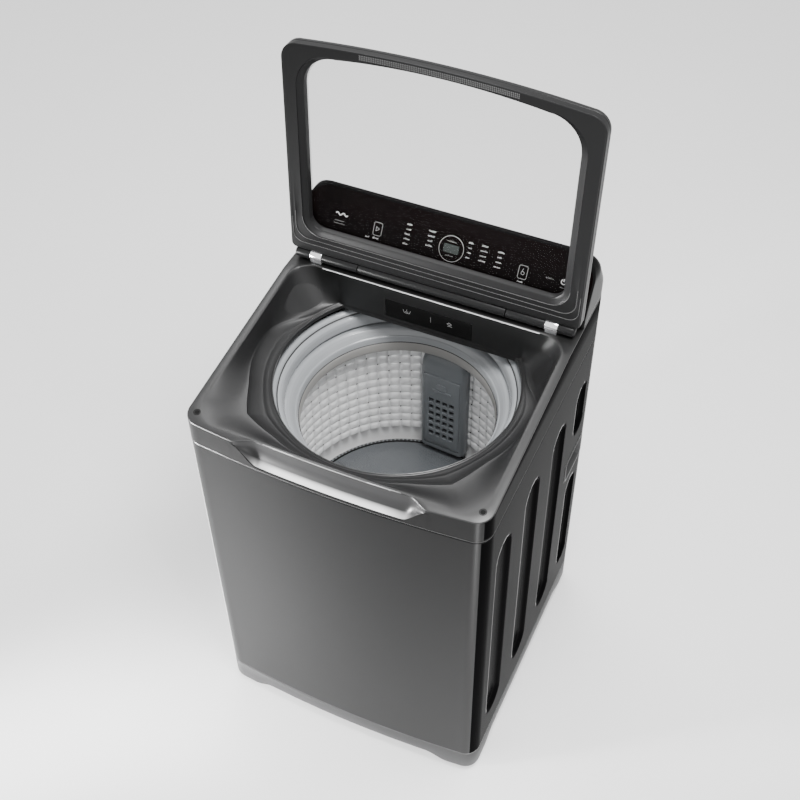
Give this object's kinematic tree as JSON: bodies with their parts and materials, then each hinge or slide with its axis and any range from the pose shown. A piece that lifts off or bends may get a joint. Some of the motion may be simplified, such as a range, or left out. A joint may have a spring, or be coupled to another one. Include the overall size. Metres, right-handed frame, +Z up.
{
  "type": "top load washing machine",
  "caption": "Top load washing machine with a glass lid that swings up, a hanging tub, a spinning steel drum, pulsator, detergent drawer and lint filter.",
  "frame": {"origin": "on the floor, in the middle of the box around the machine", "axes": "+Z up, the front with its finger scoop faces -Y, +X is to the right seen from the front"},
  "size_m": [0.54, 0.565, 1.2626],
  "materials": {
    "graphite_paint": "satin",
    "galvanised_steel": "satin",
    "dark_plastic": "satin",
    "cover_plastic": "satin",
    "gloss_panel": "gloss",
    "display_window": "gloss",
    "white_plastic": "matte",
    "lid_glass": "gloss",
    "steel": "satin",
    "chrome": "polished",
    "ring_grey": "satin",
    "stainless_steel": "satin",
    "cast_aluminium": "satin",
    "pulsator_grey": "satin",
    "filter_grey": "satin",
    "rubber": "matte"
  },
  "bodies": {
    "cabinet": {"cabinet_wrap": "graphite_paint", "rear_panel": "galvanised_steel", "rear_service_cover": "galvanised_steel", "base_frame": "dark_plastic", "handle_cup_left": "dark_plastic", "handle_cup_right": "dark_plastic", "drain_outlet": "dark_plastic", "cord_gland": "dark_plastic", "inlet_valve": "white_plastic", "top_cover": "cover_plastic", "screw_cap_left": "dark_plastic", "screw_cap_right": "dark_plastic", "console_body": "cover_plastic", "control_panel": "gloss_panel", "display_window": "display_window", "control_board_case": "white_plastic", "hinge_pin_left": "steel", "hinge_pin_right": "steel", "hinge_sleeve_left": "chrome", "hinge_sleeve_right": "chrome", "drawer_housing": "white_plastic", "rod_front_left": "steel", "spring_front_left": "steel", "rod_front_right": "steel", "spring_front_right": "steel", "foot_rear_left": "rubber", "rod_rear_left": "steel", "spring_rear_left": "steel", "foot_rear_right": "rubber", "rod_rear_right": "steel", "spring_rear_right": "steel"},
    "lid": {"lid_frame": "cover_plastic", "lid_glass": "lid_glass", "lid_barrel_middle": "cover_plastic", "lid_barrel_left": "cover_plastic", "lid_barrel_right": "cover_plastic", "lid_barrel_end_left": "cover_plastic", "lid_barrel_end_right": "cover_plastic"},
    "tub_assembly": {"tub": "white_plastic", "tub_ring": "ring_grey", "mounting_plate": "galvanised_steel", "gearcase": "cast_aluminium", "motor": "cast_aluminium", "drive_belt": "rubber", "drain_valve": "white_plastic"},
    "drum": {"basket": "stainless_steel", "balance_ring": "ring_grey", "drum_hub": "cast_aluminium", "lint_filter_housing": "filter_grey"},
    "filter_cassette": {"lint_filter_cassette": "filter_grey"},
    "wash_plate": {"pulsator": "pulsator_grey", "pulsator_cap": "filter_grey", "wash_shaft": "steel"},
    "clutch": {"clutch_pulley": "cast_aluminium"},
    "motor_rotor": {"motor_pulley": "cast_aluminium"},
    "drawer": {"detergent_drawer": "dark_plastic"},
    "foot_left": {"foot_front_left": "rubber"},
    "foot_right": {"foot_front_right": "rubber"}
  },
  "joints": [
    {"name": "lid_hinge", "type": "hinge", "parent": "cabinet", "child": "lid", "pos_m": [0, 0.129, 0.842], "axis": [1, 0, 0], "range_deg": [0, 100.3]},
    {"name": "tub_suspension", "type": "slide", "parent": "cabinet", "child": "tub_assembly", "axis": [0, 0, 1], "range_m": [-0.025, 0.01], "stiffness_N_per_m": 8000, "springref_m": 0.03265, "deforming": ["spring_front_left", "spring_front_right", "spring_rear_left", "spring_rear_right"]},
    {"name": "drum_spin", "type": "hinge", "parent": "tub_assembly", "child": "drum", "pos_m": [0, -0.016, 0.36], "axis": [0, 0, 1], "continuous": true},
    {"name": "pulsator_spin", "type": "hinge", "parent": "tub_assembly", "child": "wash_plate", "pos_m": [0, -0.016, 0.37], "axis": [0, 0, 1], "continuous": true},
    {"name": "clutch_spin", "type": "hinge", "parent": "tub_assembly", "child": "clutch", "pos_m": [0, -0.016, 0.186], "axis": [0, 0, 1], "continuous": true},
    {"name": "motor_spin", "type": "hinge", "parent": "tub_assembly", "child": "motor_rotor", "pos_m": [0.14, -0.016, 0.186], "axis": [0, 0, 1], "continuous": true},
    {"name": "drawer_slide", "type": "slide", "parent": "cabinet", "child": "drawer", "axis": [0, -1, 0], "range_m": [0, 0.085]},
    {"name": "filter_tilt", "type": "hinge", "parent": "drum", "child": "filter_cassette", "pos_m": [0.0108, 0.1557, 0.409], "axis": [0.998, -0.0628, 0], "range_deg": [0, 25]},
    {"name": "foot_left_screw", "type": "slide", "parent": "cabinet", "child": "foot_left", "axis": [0, 0, 1], "range_m": [-0.012, 0]},
    {"name": "foot_right_screw", "type": "slide", "parent": "cabinet", "child": "foot_right", "axis": [0, 0, 1], "range_m": [-0.012, 0]}
  ],
  "couplings": [
    {"joint": "clutch_spin", "follows": "pulsator_spin", "ratio": 4},
    {"joint": "motor_spin", "follows": "pulsator_spin", "ratio": 10}
  ]
}
